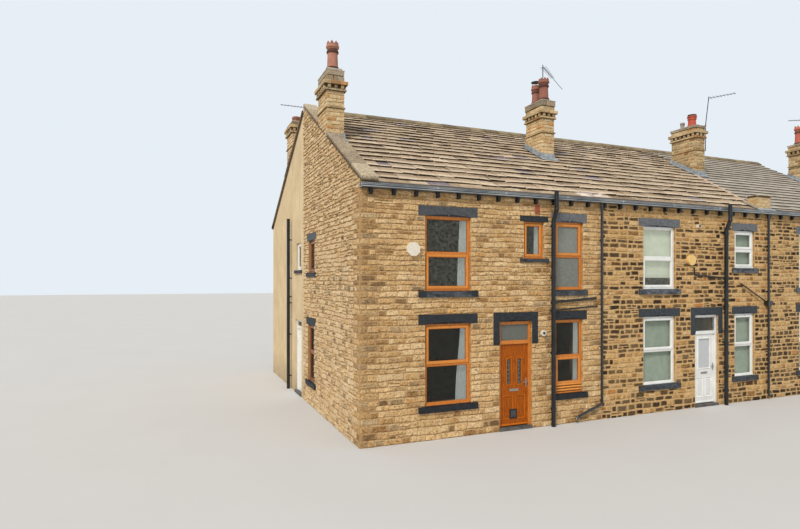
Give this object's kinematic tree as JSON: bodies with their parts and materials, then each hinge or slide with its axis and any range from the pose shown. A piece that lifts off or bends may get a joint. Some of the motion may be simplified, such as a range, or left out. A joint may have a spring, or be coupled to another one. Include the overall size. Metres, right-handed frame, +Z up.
{
  "type": "terraced house row",
  "caption": "Stone terraced house row with a gabled stone-slate roof, corbelled eaves, tall chimneys, painted lintels and sills, and hinged front doors.",
  "frame": {"origin": "centre of the footprint at ground level", "axes": "+X along the front to the right, front faces -Y, +Z up"},
  "size_m": [21.1557, 11.4063, 10.83],
  "materials": {
    "sandstone": "pitch-faced coursed sandstone",
    "render": "painted render",
    "floor_stone": "worn stone",
    "floor_timber": "boarded",
    "stone_slate": "weathered stone slates",
    "roof_tile": "matt concrete tiles",
    "black_paint": "gloss black",
    "clay": "fired clay",
    "lead": "weathered lead",
    "painted_stone": "satin charcoal paint",
    "oak_frame": "golden oak grain",
    "white_frame": "white",
    "window_glass": "clear",
    "brass_fittings": "polished",
    "black_pipe": "satin black",
    "white_plastic": "white",
    "aerial_metal": "dull"
  },
  "bodies": {
    "house_row": {"front_wall": "sandstone", "front_wall_over_doors": "sandstone", "gable_wall_stone": "sandstone", "gable_wall_rendered": "render", "rear_wall": "render", "party_walls": "sandstone", "end_wall": "sandstone", "ground_floor": "floor_stone", "first_floor": "floor_timber", "roof_slates_front": "stone_slate", "roof_slates_rear": "stone_slate", "roof_tiles_front": "roof_tile", "roof_tiles_rear": "roof_tile", "ridge_tiles": "roof_tile", "gable_coping": "stone_slate", "gutters": "black_paint", "eaves_corbels": "black_paint", "chimney_stacks": "sandstone", "chimney_pots": "clay", "chimney_leads": "lead", "stub_stack": "sandstone", "window_lintels": "painted_stone", "window_sills": "painted_stone", "door_surrounds": "painted_stone", "gable_lintels": "painted_stone", "side_sills": "painted_stone", "window_frames_house_1": "oak_frame", "window_frames_house_2": "white_frame", "window_frames_house_3": "white_frame", "window_frames_gable": "white_frame", "window_frames_rear": "white_frame", "window_glass_front": "window_glass", "window_glass_rear": "window_glass", "door_frame_1": "oak_frame", "door_frame_2": "white_frame", "hinge_plates": "brass_fittings", "fixed_doors": "white_frame", "door_steps": "floor_stone", "soil_pipes": "black_pipe", "downpipes": "black_pipe", "waste_pipes": "black_pipe", "wall_fittings": "white_plastic", "pot_cowl": "black_paint", "aerials": "aerial_metal"},
    "door_1": {"door_leaf_1": "oak_frame", "door_glass_1": "window_glass", "door_fittings_1": "brass_fittings"},
    "door_2": {"door_leaf_2": "white_frame", "door_glass_2": "window_glass", "door_fittings_2": "brass_fittings"}
  },
  "joints": [
    {"name": "door_1_hinge", "type": "hinge", "parent": "house_row", "child": "door_1", "pos_m": [-6.706, -5.2577, 1.09], "axis": [0, 0, 1], "range_deg": [0, 90]},
    {"name": "door_2_hinge", "type": "hinge", "parent": "house_row", "child": "door_2", "pos_m": [-0.109, -5.2577, 1.09], "axis": [0, 0, 1], "range_deg": [0, 90]}
  ]
}
